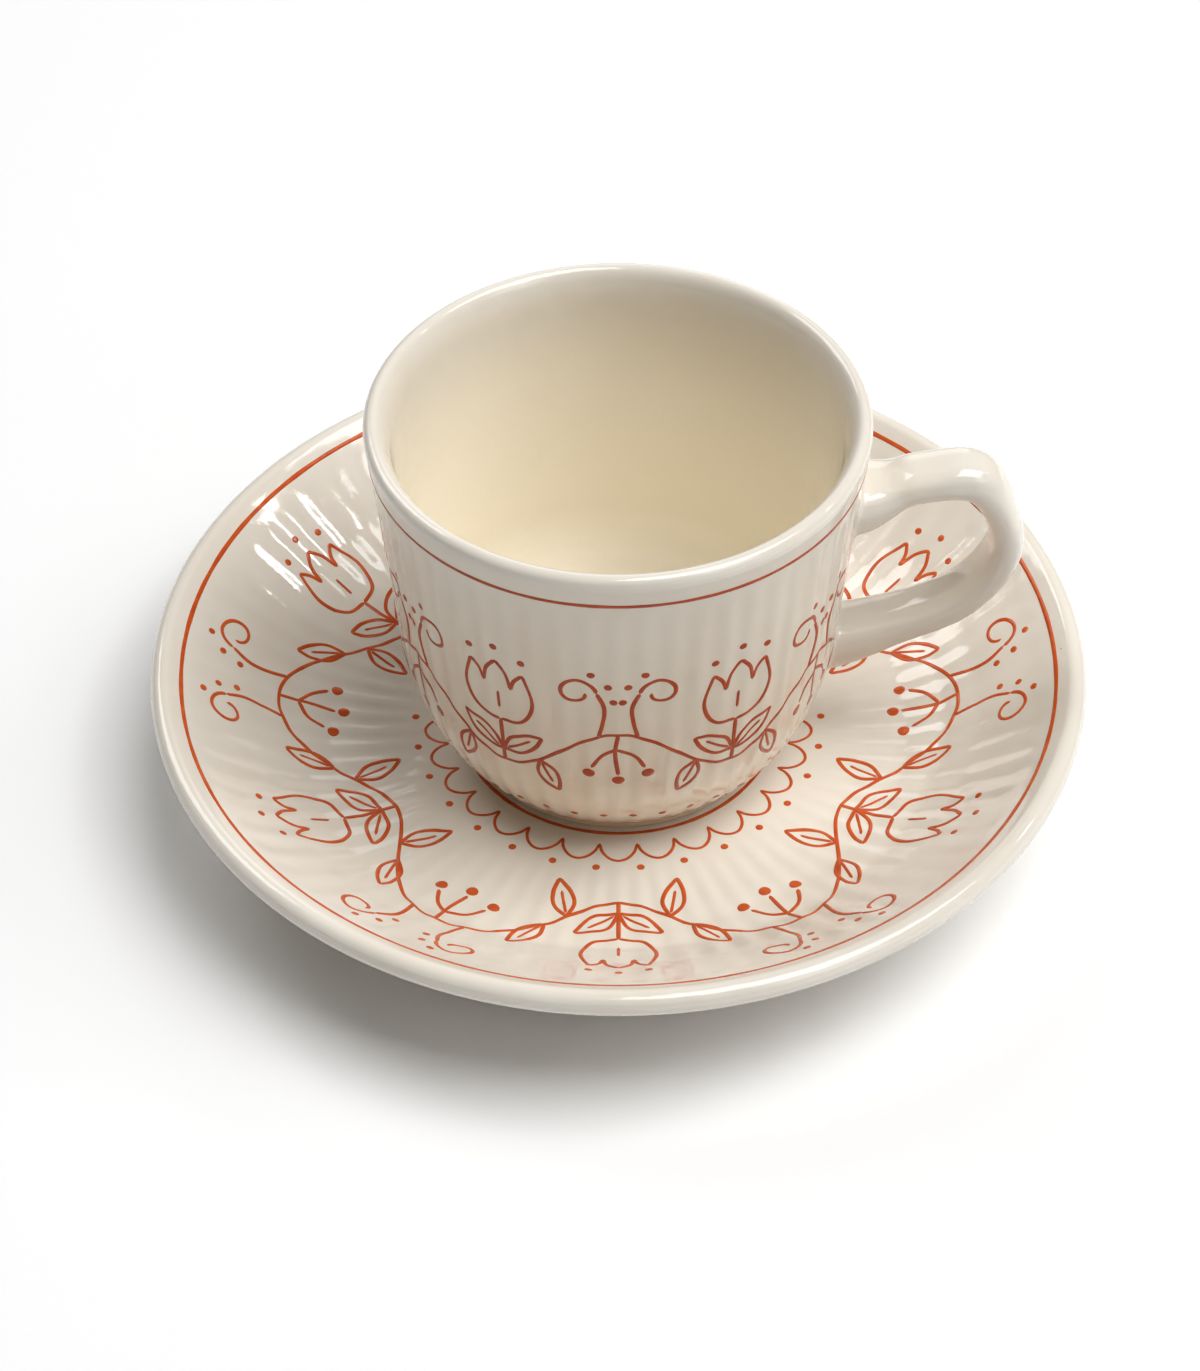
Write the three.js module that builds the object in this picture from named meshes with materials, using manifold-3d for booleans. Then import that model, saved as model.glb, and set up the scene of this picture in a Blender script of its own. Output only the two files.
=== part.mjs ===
// Coffee cup with saucer: fluted earthenware, three pieces.
// Millimetres, +Z up. The origin is on the saucer's axis, on the table. The handle points along +X.
import * as THREE from 'three';
import { mergeVertices } from 'three/addons/utils/BufferGeometryUtils.js';
import Module from 'manifold-3d';

const wasm = await Module();
wasm.setup();

// Saucer: overall size and rim
const SAUCER_RADIUS = 77.5;
const SAUCER_WALL = 4.0;
const PLAIN_RIM = 6.4;
// Saucer: upper face, from the flat well outwards
const WELL_MARGIN = 2.0;
const WELL_HEIGHT = 5.5;
const FLOOR_WIDTH = 14.0;
const FLOOR_SLOPE = 3.0;
const BEND_RADIUS = 33.0;
const SIDE_SLOPE = 37.5;
// Saucer: foot ring
const SAUCER_FOOT_RADIUS = 44.0;
const SAUCER_FOOT_WIDTH = 3.6;
const SAUCER_FOOT_DEPTH = 1.8;
// Saucer: flutes pressed into the upper face
const SAUCER_FLUTES = 72;
const SAUCER_FLUTE_DEPTH = 0.3;
const SAUCER_FLUTE_GAP = 3.0;
const SAUCER_FLUTE_FADE = 12.0;
const SAUCER_FLUTE_MARGIN = 1.2;

// Cup: overall size and lip
const CUP_HEIGHT = 67.1;
const CUP_RADIUS = 39.3;
const LIP_RADIUS = 1.4;
const LIP_SLOPE_WIDTH = 2.2;
const LIP_SLOPE_DEPTH = 4.0;
const RIM_BAND = 5.3;
const RIM_PROUD = 0.4;
// Cup: wall and rounded base
const CUP_WALL = 3.5;
const WALL_TAPER = 0.08;
const BASE_CURVE_HEIGHT = 25.0;
const BASE_CURVE_DROP = 27.0;
const BASE_CURVE_INSET = 15.6;
const FLOOR_THICKNESS = 4.0;
const BOWL_CORNER = 16.0;
// Cup: foot ring
const CUP_FOOT_RADIUS = 26.0;
const CUP_FOOT_WIDTH = 3.6;
const CUP_FOOT_HEIGHT = 2.9;
const CUP_FOOT_DEPTH = 2.2;
const FOOT_EDGE = 0.7;
// Cup: flutes pressed into the outer face
const CUP_FLUTES = 56;
const CUP_FLUTE_DEPTH = 0.28;
const CUP_FLUTE_FADE = 4.0;

// Handle: centre line, measured from the cup's wall, its rim and its foot
const HANDLE_WIDTH = 9.8;
const HANDLE_THICKNESS = 5.5;
const HANDLE_UPPER_DROP = 18.1;
const HANDLE_ARCH = 4.4;
const HANDLE_SHOULDER = 18.6;
const HANDLE_SWELL = 0.9;
const HANDLE_SWELL_SPAN = 8.0;
const HANDLE_REACH = 24.3;
const HANDLE_BOW_DROP = 7.8;
const HANDLE_LOWER_RISE = 18.0;
const HANDLE_LOWER_SWEEP = 4.2;
const HANDLE_UPPER_FLARE = 5.2;
const HANDLE_UPPER_ROOT = 8.0;
const HANDLE_LOWER_FLARE = 2.8;
const HANDLE_LOWER_ROOT = 16.0;
const HANDLE_OVALITY = 2.7;
const HANDLE_JOINT = 0.3;

// Facets
const STEPS_PER_FLUTE = 4;
const LIP_STEPS = 4;
const BOWL_STEPS = 6;
const BASE_STEPS = 5;
const BEND_STEPS = 4;
const EDGE_STEPS = 8;
const SEAT_STEPS = 12;
const HANDLE_STEPS = 42;
const HANDLE_SIDES = 16;

// Sizes that follow from those above
const WELL_RADIUS = CUP_FOOT_RADIUS + WELL_MARGIN;
const FLOOR_RADIUS = WELL_RADIUS + FLOOR_WIDTH;
const BAND_FOOT = CUP_HEIGHT - RIM_BAND;

const rad = THREE.MathUtils.degToRad;
const { lerp, clamp, smoothstep } = THREE.MathUtils;

// A ring of a turned profile. The valley is how far the bottom of a flute lies from its crest.
const ring = (radius, height, valley = [0, 0]) => ({ radius, height, valley });

// Rings along an oval arc of the profile between two angles in degrees, both ends included.
function arc(centre, width, height, from, to, steps) {
  return Array.from({ length: steps + 1 }, (unused, i) => {
    const angle = rad(lerp(from, to, i / steps));
    return ring(centre[0] + width * Math.cos(angle), centre[1] + height * Math.sin(angle));
  });
}

// Turns a list of rings into a closed body. Fluted rings get more corners than plain ones.
function turned(rings, flutes) {
  const position = [];
  const index = [];
  const fluted = (r) => Math.hypot(...r.valley) > 0;
  const loops = rings.map((r) => {
    const corners = r.radius > 0 ? flutes * (fluted(r) ? STEPS_PER_FLUTE : 1) : 1;
    const first = position.length / 3;
    for (let i = 0; i < corners; i += 1) {
      const angle = (2 * Math.PI * i) / corners;
      const depth = (1 - Math.cos(flutes * angle)) / 2;
      const radius = r.radius + r.valley[0] * depth;
      position.push(radius * Math.cos(angle), radius * Math.sin(angle), r.height + r.valley[1] * depth);
    }
    return { first, corners };
  });
  for (let k = 0; k + 1 < loops.length; k += 1) stitch(index, loops[k], loops[k + 1]);
  return solidGeometry(position, index);
}

// Joins two loops of corners with triangles, walking round both at the same pace.
function stitch(index, low, high) {
  const at = (loop, i) => loop.first + (i % loop.corners);
  let i = 0;
  let j = 0;
  const lowSteps = low.corners > 1 ? low.corners : 0;
  const highSteps = high.corners > 1 ? high.corners : 0;
  while (i < lowSteps || j < highSteps) {
    const nextLow = i < lowSteps ? (i + 0.5) / lowSteps : Infinity;
    const nextHigh = j < highSteps ? (j + 0.5) / highSteps : Infinity;
    if (nextLow <= nextHigh) {
      index.push(at(low, i), at(low, i + 1), at(high, j));
      i += 1;
    } else {
      index.push(at(low, i), at(high, j + 1), at(high, j));
      j += 1;
    }
  }
}

function solidGeometry(position, index) {
  const geometry = new THREE.BufferGeometry();
  geometry.setAttribute('position', new THREE.Float32BufferAttribute(position, 3));
  geometry.setIndex(index);
  geometry.computeVertexNormals();
  return geometry;
}

// Outer radius of the cup's wall at a height above its foot, on the crests of the flutes.
function cupWallRadius(height) {
  const straight = CUP_RADIUS - RIM_PROUD - WALL_TAPER * (BAND_FOOT - height);
  const below = clamp((BASE_CURVE_HEIGHT - height) / BASE_CURVE_DROP, 0, 1);
  return straight - BASE_CURVE_INSET * (1 - Math.sqrt(1 - below * below));
}

// Heights up the cup's rounded base, from the foot's upper edge to where the wall runs straight.
function baseHeights() {
  const lowest = Math.asin((BASE_CURVE_HEIGHT - CUP_FOOT_HEIGHT) / BASE_CURVE_DROP);
  return Array.from({ length: BASE_STEPS + 1 }, (unused, i) => {
    return BASE_CURVE_HEIGHT - BASE_CURVE_DROP * Math.sin(lerp(lowest, 0, i / BASE_STEPS));
  });
}

// A foot ring with a flat underside, from the axis to the top of its outer face.
function footRings(radius, width, depth, height) {
  const inner = radius - width;
  return [
    ring(0, depth),
    ring(inner - FOOT_EDGE, depth),
    ring(inner, FOOT_EDGE),
    ring(inner + FOOT_EDGE, 0),
    ring(radius - FOOT_EDGE, 0),
    ring(radius, FOOT_EDGE),
    ring(radius, height),
  ];
}

function cupRings() {
  const foot = footRings(CUP_FOOT_RADIUS, CUP_FOOT_WIDTH, CUP_FOOT_DEPTH, CUP_FOOT_HEIGHT);
  const flutedHeights = [...baseHeights(), BAND_FOOT - CUP_FLUTE_FADE];
  const flutedWall = flutedHeights.map((h) => ring(cupWallRadius(h), h, [-CUP_FLUTE_DEPTH, 0]));
  const lipTop = CUP_RADIUS - LIP_RADIUS;
  const lip = arc([lipTop, CUP_HEIGHT - LIP_RADIUS], LIP_RADIUS, LIP_RADIUS, 0, 90, LIP_STEPS);
  const slopeFoot = [lipTop, CUP_HEIGHT - LIP_SLOPE_DEPTH];
  const lipSlope = arc(slopeFoot, LIP_SLOPE_WIDTH, LIP_SLOPE_DEPTH, 90, 180, LIP_STEPS).slice(1);
  const bowlFloor = CUP_FOOT_DEPTH + FLOOR_THICKNESS;
  const bowlSide = bowlFloor + BOWL_CORNER;
  const bowlCentre = [cupWallRadius(bowlSide) - CUP_WALL - BOWL_CORNER, bowlSide];
  const bowl = arc(bowlCentre, BOWL_CORNER, BOWL_CORNER, 0, -90, BOWL_STEPS);
  return [
    ...foot,
    ...flutedWall,
    ring(cupWallRadius(BAND_FOOT), BAND_FOOT),
    ...lip,
    ...lipSlope,
    ring(cupWallRadius(BAND_FOOT) - CUP_WALL, BAND_FOOT),
    ...bowl,
    ring(0, bowlFloor),
  ];
}

// Radius, height and slope of the saucer's upper face along its bend and straight side.
function saucerBend(slope) {
  const rise = (FLOOR_RADIUS - WELL_RADIUS) * Math.tan(rad(FLOOR_SLOPE));
  const radius = FLOOR_RADIUS + BEND_RADIUS * (Math.sin(rad(slope)) - Math.sin(rad(FLOOR_SLOPE)));
  const lift = BEND_RADIUS * (Math.cos(rad(FLOOR_SLOPE)) - Math.cos(rad(slope)));
  return { radius, height: WELL_HEIGHT + rise + lift, slope };
}

// The saucer's upper face where it runs straight up to its rounded edge.
function saucerSide(radius) {
  const start = saucerBend(SIDE_SLOPE);
  return { ...start, radius, height: start.height + (radius - start.radius) * Math.tan(rad(SIDE_SLOPE)) };
}

// A ring of the upper face, with its flutes pressed in square to the face.
function saucerFlute({ radius, height, slope }) {
  const fadeStart = WELL_RADIUS + SAUCER_FLUTE_GAP;
  const depth = SAUCER_FLUTE_DEPTH * smoothstep(radius, fadeStart, fadeStart + SAUCER_FLUTE_FADE);
  return ring(radius, height, [depth * Math.sin(rad(slope)), -depth * Math.cos(rad(slope))]);
}

// The ring of the underside that lies a wall's thickness below one of the upper face.
function saucerUnder({ radius, height, slope }) {
  return ring(radius + SAUCER_WALL * Math.sin(rad(slope)), height - SAUCER_WALL * Math.cos(rad(slope)));
}

function saucerRings() {
  const bend = Array.from({ length: BEND_STEPS + 1 }, (unused, i) => {
    return saucerBend(lerp(FLOOR_SLOPE, SIDE_SLOPE, i / BEND_STEPS));
  });
  const under = bend.map(saucerUnder);
  const foot = footRings(SAUCER_FOOT_RADIUS, SAUCER_FOOT_WIDTH, SAUCER_FOOT_DEPTH, under[0].height);
  const outsideFoot = under.filter((r) => r.radius > SAUCER_FOOT_RADIUS + FOOT_EDGE);
  const edge = SAUCER_WALL / 2;
  const edgeStart = saucerSide(SAUCER_RADIUS - edge * (1 + Math.sin(rad(SIDE_SLOPE))));
  const edgeCentre = [SAUCER_RADIUS - edge, edgeStart.height - edge * Math.cos(rad(SIDE_SLOPE))];
  const roundEdge = arc(edgeCentre, edge, edge, SIDE_SLOPE - 90, SIDE_SLOPE + 90, EDGE_STEPS);
  const fluteEnd = saucerSide(SAUCER_RADIUS - PLAIN_RIM);
  const fluteTop = saucerSide(fluteEnd.radius - SAUCER_FLUTE_MARGIN);
  const floorStart = WELL_RADIUS + SAUCER_FLUTE_GAP;
  return [
    ...foot,
    ...outsideFoot,
    ...roundEdge,
    ring(fluteEnd.radius, fluteEnd.height),
    ...[fluteTop, ...bend.reverse()].map(saucerFlute),
    ring(floorStart, WELL_HEIGHT + SAUCER_FLUTE_GAP * Math.tan(rad(FLOOR_SLOPE))),
    ring(WELL_RADIUS, WELL_HEIGHT),
    ring(0, WELL_HEIGHT),
  ];
}

// Corners of the handle's centre line, from its upper root round to its lower root, above the cup's foot.
function handlePoints() {
  const upper = CUP_HEIGHT - HANDLE_UPPER_DROP;
  const upperWall = cupWallRadius(upper);
  const bow = upper - HANDLE_BOW_DROP;
  const lower = HANDLE_LOWER_RISE;
  const lowerWall = cupWallRadius(lower);
  const corners = [
    [upperWall - CUP_WALL, upper],
    [upperWall + HANDLE_UPPER_ROOT / 2, upper + HANDLE_ARCH / 2],
    [upperWall + HANDLE_SHOULDER / 2, upper + HANDLE_ARCH],
    [upperWall + HANDLE_SHOULDER, upper + HANDLE_ARCH],
    [upperWall + HANDLE_REACH, bow],
    [upperWall + HANDLE_SHOULDER, (bow + lower) / 2],
    [lowerWall + HANDLE_LOWER_ROOT / 2, lower + HANDLE_LOWER_SWEEP],
    [lowerWall - CUP_WALL, lower],
  ];
  return corners.map(([x, z]) => new THREE.Vector3(x, 0, z));
}

// The handle's strap: an oval section carried along the centre line.
// It flares at both roots, and swells outwards at the shoulder, where the thumb rests.
function handleStrap() {
  const corners = handlePoints();
  const shoulder = corners[3];
  const path = new THREE.CatmullRomCurve3(corners, false, 'centripetal');
  const roots = [path.getPoint(0), path.getPoint(1)];
  const oval = (c) => Math.sign(c) * Math.abs(c) ** (2 / HANDLE_OVALITY);
  const position = [...roots[0].toArray()];
  const loops = [{ first: 0, corners: 1 }];
  for (let k = 0; k <= HANDLE_STEPS; k += 1) {
    const centre = path.getPoint(k / HANDLE_STEPS);
    const along = path.getTangent(k / HANDLE_STEPS);
    const [upperGap, lowerGap] = roots.map((root) => root.distanceTo(centre) - CUP_WALL);
    const upperFlare = HANDLE_UPPER_FLARE * (1 - smoothstep(upperGap, 0, HANDLE_UPPER_ROOT));
    const lowerFlare = HANDLE_LOWER_FLARE * (1 - smoothstep(lowerGap, 0, HANDLE_LOWER_ROOT));
    const flare = upperFlare + lowerFlare;
    const swell = HANDLE_SWELL * (1 - smoothstep(shoulder.distanceTo(centre), 0, HANDLE_SWELL_SPAN));
    loops.push({ first: position.length / 3, corners: HANDLE_SIDES });
    for (let i = 0; i < HANDLE_SIDES; i += 1) {
      const angle = (2 * Math.PI * i) / HANDLE_SIDES;
      const outer = Math.cos(angle) > 0 ? swell : 0;
      const out = oval(Math.cos(angle)) * ((HANDLE_THICKNESS + flare) / 2 + outer);
      const across = (-oval(Math.sin(angle)) * (HANDLE_WIDTH + flare / 2)) / 2;
      position.push(centre.x - along.z * out, across, centre.z + along.x * out);
    }
  }
  loops.push({ first: position.length / 3, corners: 1 });
  position.push(...roots[1].toArray());
  const index = [];
  for (let k = 0; k + 1 < loops.length; k += 1) stitch(index, loops[k], loops[k + 1]);
  return solidGeometry(position, index);
}

// What the handle is luted to: the cup's outside, enlarged by the thickness of the slip.
function handleSeat() {
  const wall = Array.from({ length: SEAT_STEPS + 1 }, (unused, i) => {
    const height = lerp(0, BAND_FOOT, i / SEAT_STEPS);
    return ring(cupWallRadius(height) + HANDLE_JOINT, height);
  });
  return turned([ring(0, 0), ...wall, ring(0, BAND_FOOT)], 2 * CUP_FLUTES);
}

function toManifold(geometry) {
  const bare = geometry.clone();
  bare.deleteAttribute('normal');
  const merged = mergeVertices(bare);
  const vertProperties = new Float32Array(merged.attributes.position.array);
  const triVerts = new Uint32Array(merged.index.array);
  return new wasm.Manifold(new wasm.Mesh({ numProp: 3, vertProperties, triVerts }));
}

function cutHandle() {
  const mesh = toManifold(handleStrap()).subtract(toManifold(handleSeat())).getMesh();
  return solidGeometry(Array.from(mesh.vertProperties), Array.from(mesh.triVerts));
}

// Materials
const creamGlaze = new THREE.MeshStandardMaterial({ color: '#ece5d6', roughness: 0.18, metalness: 0 });
const handleGlaze = new THREE.MeshStandardMaterial({ color: '#eae2cf', roughness: 0.18, metalness: 0 });

function piece(name, geometry, material) {
  const mesh = new THREE.Mesh(geometry, material);
  mesh.name = name;
  return mesh;
}

const saucer = piece('saucer', turned(saucerRings(), SAUCER_FLUTES), creamGlaze);
const cup = new THREE.Group();
cup.position.z = WELL_HEIGHT;
cup.add(piece('cup_body', turned(cupRings(), CUP_FLUTES), creamGlaze));
cup.add(piece('cup_handle', cutHandle(), handleGlaze));

const coffeeCupWithSaucer = new THREE.Group();
coffeeCupWithSaucer.add(saucer, cup);

export default coffeeCupWithSaucer;
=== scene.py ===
"""A fluted coffee cup on its saucer: pressed earthenware, cream glaze and a painted line design."""

import math

import bpy
import numpy as np
from mathutils import Matrix, Vector


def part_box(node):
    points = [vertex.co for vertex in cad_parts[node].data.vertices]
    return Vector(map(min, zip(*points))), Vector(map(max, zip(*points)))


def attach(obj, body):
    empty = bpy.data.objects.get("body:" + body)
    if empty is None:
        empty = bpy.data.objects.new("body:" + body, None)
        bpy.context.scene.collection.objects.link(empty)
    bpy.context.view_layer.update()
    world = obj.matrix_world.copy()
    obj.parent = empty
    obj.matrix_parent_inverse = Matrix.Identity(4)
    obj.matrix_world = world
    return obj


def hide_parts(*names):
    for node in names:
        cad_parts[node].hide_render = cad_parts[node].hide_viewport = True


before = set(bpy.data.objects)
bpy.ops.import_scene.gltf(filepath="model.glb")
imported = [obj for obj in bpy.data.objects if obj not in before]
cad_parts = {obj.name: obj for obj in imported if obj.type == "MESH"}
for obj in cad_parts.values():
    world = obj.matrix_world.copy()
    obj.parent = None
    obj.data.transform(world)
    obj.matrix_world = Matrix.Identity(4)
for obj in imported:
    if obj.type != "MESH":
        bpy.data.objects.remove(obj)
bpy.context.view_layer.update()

MM = 0.001
# How far the glazed skin stays inside the solids' box
SKIN = 0.01 * MM

# Places taken from the frame
saucer_low, saucer_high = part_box("saucer")
cup_low, cup_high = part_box("cup_body")
SAUCER_RADIUS = saucer_high.x - SKIN
SAUCER_TOP = saucer_high.z - SKIN
TABLE = saucer_low.z + SKIN
WELL_HEIGHT = cup_low.z
CUP_RADIUS = cup_high.x - SKIN
CUP_HEIGHT = cup_high.z - cup_low.z - SKIN

# Saucer
SAUCER_WALL = 4.0 * MM
SAUCER_EDGE = SAUCER_WALL / 2
WELL_RADIUS = 28.0 * MM
WELL_SOFTNESS = 30.0 * MM
FLOOR_WIDTH = 14.0 * MM
FLOOR_SLOPE = math.radians(3.0)
BEND_RADIUS = 33.0 * MM
SIDE_SLOPE = math.radians(37.5)
SAUCER_FOOT_RADIUS = 44.0 * MM
SAUCER_FOOT_WIDTH = 3.6 * MM
SAUCER_FOOT_DEPTH = 1.8 * MM
SAUCER_FLUTES = 72
SAUCER_FLUTE_DEPTH = 0.17 * MM
SAUCER_FLUTE_START = (31.0 * MM, 43.0 * MM)
SAUCER_FLUTE_END = (68.6 * MM, 71.4 * MM)

# Cup
LIP_RADIUS = 1.4 * MM
LIP_SLOPE_WIDTH = 2.7 * MM
LIP_SLOPE_DEPTH = 7.0 * MM
LIP_SLOPE_END = math.radians(78.0)
RIM_BAND = 5.3 * MM
RIM_PROUD = 0.4 * MM
CUP_WALL = 3.5 * MM
WALL_TAPER = 0.08
BASE_CURVE_HEIGHT = 25.0 * MM
BASE_CURVE_DROP = 27.0 * MM
BASE_CURVE_INSET = 16.6 * MM
FLOOR_THICKNESS = 4.0 * MM
BOWL_CORNER = 16.0 * MM
CUP_FOOT_RADIUS = 26.0 * MM
CUP_FOOT_WIDTH = 3.6 * MM
CUP_FOOT_HEIGHT = 3.1 * MM
CUP_FOOT_DEPTH = 2.2 * MM
CUP_FLUTES = 56
CUP_FLUTE_DEPTH = 0.16 * MM
CUP_FLUTE_FADE = 4.4 * MM
# Painted warm bounce light on the glaze: the depths below the lip over which it fades in inside the
# bowl, and its share at the bottom of the outer wall
BOUNCE_LIGHT_START = (1.5 * MM, 24.0 * MM)
WALL_BOUNCE_LIGHT = 0.6
BAND_FOOT = CUP_HEIGHT - RIM_BAND
BOWL_FLOOR = CUP_FOOT_DEPTH + FLOOR_THICKNESS

# Foot rings
FOOT_EDGE = 0.7 * MM
FOOT_CREASE = 1.0 * MM
BARE_HEIGHT = 0.25 * MM

# How strongly glaze pools, as shares of its pooling on the cup's foot, which also holds painted
# shade under the wall's overhang; the share on the wall darkens its lower half towards the bottom
POOL_IN_FLUTES = 0.09
LOW_WALL_DARKENING = 0.22
POOL_AT_ROOTS = 0.15

# Handle
HANDLE_WIDTH = 9.8 * MM
HANDLE_THICKNESS = 5.5 * MM
HANDLE_UPPER_DROP = 18.1 * MM
HANDLE_ARCH = 4.4 * MM
HANDLE_SHOULDER = 18.6 * MM
HANDLE_SWELL = 0.9 * MM
HANDLE_SWELL_SPAN = 8.0 * MM
HANDLE_REACH = 24.3 * MM
HANDLE_BOW_DROP = 7.8 * MM
HANDLE_LOWER_RISE = 18.0 * MM
HANDLE_LOWER_SWEEP = 4.2 * MM
HANDLE_UPPER_FLARE = 5.2 * MM
HANDLE_UPPER_ROOT = 8.0 * MM
HANDLE_UPPER_LIFT = 0.4
HANDLE_LOWER_FLARE = 2.8 * MM
HANDLE_LOWER_ROOT = 16.0 * MM
HANDLE_OVALITY = 2.7
ROOT_FILLET = 1.1 * MM
ROOT_SINK = 0.8 * MM

# Steps of the meshes. A step of a profile may be longer than RING_STEP by the share RING_SLACK
RING_STEP = 1.3 * MM
RING_SLACK = 0.25
FILLET_STEP = math.radians(12.0)
LIP_RINGS = 13
STEPS_PER_FLUTE = 8
HANDLE_SIDES = 40
HANDLE_RINGS = 96
FILLET_RINGS = 7
STRAP_SAMPLES = 2000
ROOT_SAMPLES = 500
ROOT_SHARE = 0.22
TURN_STEP = 1e-4
ALONG_STEP = 0.3 * MM

# Painted lines and dots: widths in millimetres, shares of a width, and counts of steps. SWINGS
# vary a line's width along it, each by a share, a stretch and a phase
LINE = 0.8
THIN_LINE = 0.6
RIM_LINE = 0.95
RIM_LINE_INSET = 5.0 * MM
DOT = 0.72
BERRY = 1.15
PAINT_STEP = 0.45 * MM
PAINT_RISE = 0.045 * MM
PAINT_SINK = 0.06 * MM
PAINT_FLAT = 0.72
PAINT_KEEL = 0.5
SWINGS = ((0.07, 3.1 * MM, 0.0), (0.05, 1.3 * MM, 1.7))
BLUNT_END = 0.05
DOT_SIDES = 14
DOT_FLAT = 0.82
DOT_INNER = 0.4
CURVE_STEPS = 10
CURL_STEPS = 40
RING_SAMPLES = 721
EDGE_LINE = 0.45
ORANGE_TONES = ((0.53, 0.075, 0.014, 1.0), (0.61, 0.098, 0.018, 1.0), (0.68, 0.140, 0.030, 1.0))
BROWN_TONES = ((0.40, 0.044, 0.006, 1.0), (0.47, 0.060, 0.008, 1.0), (0.54, 0.086, 0.014, 1.0))

# Layout of the painted design. Lengths without a unit are millimetres, places are shares of a
# repeat, a vine is its middle and its swing, and sizes go to berries, tendrils and lower leaves
LEAF_LENGTH = 9.0
LEAF_WIDTH = 3.6
TULIP_LEAF_TURN = math.radians(52.0)
LOWER_LEAF_TURN = math.radians(18.0)
UPPER_LEAF_TURN = math.radians(28.0)
TENDRIL_PLACE = 0.08
LOWER_LEAF_PLACE = 0.33
UPPER_LEAF_PLACE = 0.27
SCALLOPS = 30
SCALLOP_STEPS = 16
SCALLOP_FULLNESS = 0.6
SCALLOP_BASE = 1.2
SCALLOP_RISE = 3.8
SCALLOP_DOT_RISE = 5.4
FOOT_RING_GAP = 0.7 * MM
SAUCER_REPEATS = 6
SAUCER_VINE = (22.5, 8.0)
SAUCER_VINE_SAMPLES = 1441
SAUCER_SIZES = (1.0, 0.85, 1.0)
BAND_RING_RISE = 0.2 * MM
EDGE_RING_RISE = 0.4 * MM
CUP_DOTS = 42
CUP_DOT_HEIGHT = 9.5 * MM
CUP_REPEATS = 6
CUP_VINE = (27.5, 5.5)
CUP_VINE_SAMPLES = 1200
CUP_SIZES = (0.95, 0.8, 0.9)
CUP_FRONT = -math.pi / 2
HANDLE_CLEAR = math.radians(14.0)

# Glaze: its tones from dark to pale, and the scales of its noise per metre
CREAM_TONES = ((0.825, 0.760, 0.660, 1.0), (0.845, 0.787, 0.692, 1.0), (0.860, 0.806, 0.716, 1.0))
# Painted warm bounce light in the bowl and on the lower wall, lighter and yellower than the cream
BOUNCE_LIGHT_TONE = (0.930, 0.853, 0.700, 1.0)
# Brown of pooled glaze, which is also painted shade on the cup's foot and darkens the cup's wall
# towards the bottom
POOL_AND_SHADE_TONE = (0.64, 0.48, 0.28, 1.0)
POOL_AND_SHADE_STRENGTH = 0.75
CLOUD_SCALE = 55.0
PINHOLE_TONE = (0.20, 0.13, 0.08, 1.0)
PINHOLE_SCALE = 95.0
PINHOLE_EDGE = (0.008, 0.020)
PINHOLE_CHOICE = (0.80, 0.84)
PINHOLE_STRENGTH = 0.75
GLOSS_SCALE = 140.0
GLAZE_ROUGHNESS = (0.04, 0.12)
GLAZE_IOR = 1.5
COAT_WEIGHT = 0.35
COAT_ROUGHNESS = 0.04
RIPPLE_SCALE = 220.0
RIPPLE_DEPTH = 0.10 * MM
GRAIN_SCALE = 1500.0
GRAIN_DEPTH = 0.012 * MM

# Inks and bare clay
INK_SCALE = 420.0
INK_ROUGHNESS = (0.07, 0.18)
INK_SPECULAR = 0.3
CLAY_TONES = ((0.52, 0.44, 0.33, 1.0), (0.70, 0.62, 0.50, 1.0), (0.76, 0.70, 0.59, 1.0))
CLAY_SCALE = 260.0
CLAY_ROUGHNESS = (0.65, 0.9)
CLAY_WEAR_SCALE = 500.0
CLAY_GRAIN_SCALE = 2200.0
CLAY_GRAIN_DEPTH = 0.06 * MM

# Table top and the pale room behind it, which lights the object far less than it shows
FLOOR_RADIUS = 0.9
FLOOR_SIDES = 128
TABLE_TONES = ((0.95, 0.95, 0.95, 1.0), (0.97, 0.97, 0.97, 1.0))
TABLE_SCALE = 3.0
TABLE_ROUGHNESS = 0.9
TABLE_SPECULAR = 0.1
SKY_LIGHT = 0.012
SKY_SEEN = 0.92

# Soft lights: name, direction from the object, width in metres, power in watts, and whether the
# object's gloss shows them
LIGHT_DISTANCE = 2.0
LIGHT_TARGET = Vector((0.0, 0.0, 0.03))
LIGHTS = (
    ("key", (0.33, -0.06, 0.942), 1.3, 30.5, True),
    ("side", (0.71, 0.06, 0.70), 1.2, 12.0, False),
    ("spark", (0.73, 0.26, 0.63), 0.12, 0.9, True),
    ("front", (0.6, -0.5, 0.62), 0.8, 3.2, True),
    ("fill", (-0.5, 0.5, 0.707), 0.9, 9.5, True),
    ("back", (0.0, 0.94, 0.342), 0.9, 3.0, True),
)

# Photograph's camera, for a picture of 1200 by 1371 pixels
IMAGE_HEIGHT = 1371
FOCAL_PIXELS = 2750.0
SENSOR = 36.0
CAMERA_PLACE = Vector((0.0, -331.2, 339.3)) * MM
CAMERA_PITCH = math.radians(44.55)
CAMERA_YAW = math.radians(-0.53)
CAMERA_ROLL = -0.0080
CAMERA_CLIP = (0.01, 50.0)


def smoothstep(value, low, high):
    t = np.clip((value - low) / (high - low), 0.0, 1.0)
    return t * t * (3.0 - 2.0 * t)


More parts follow.
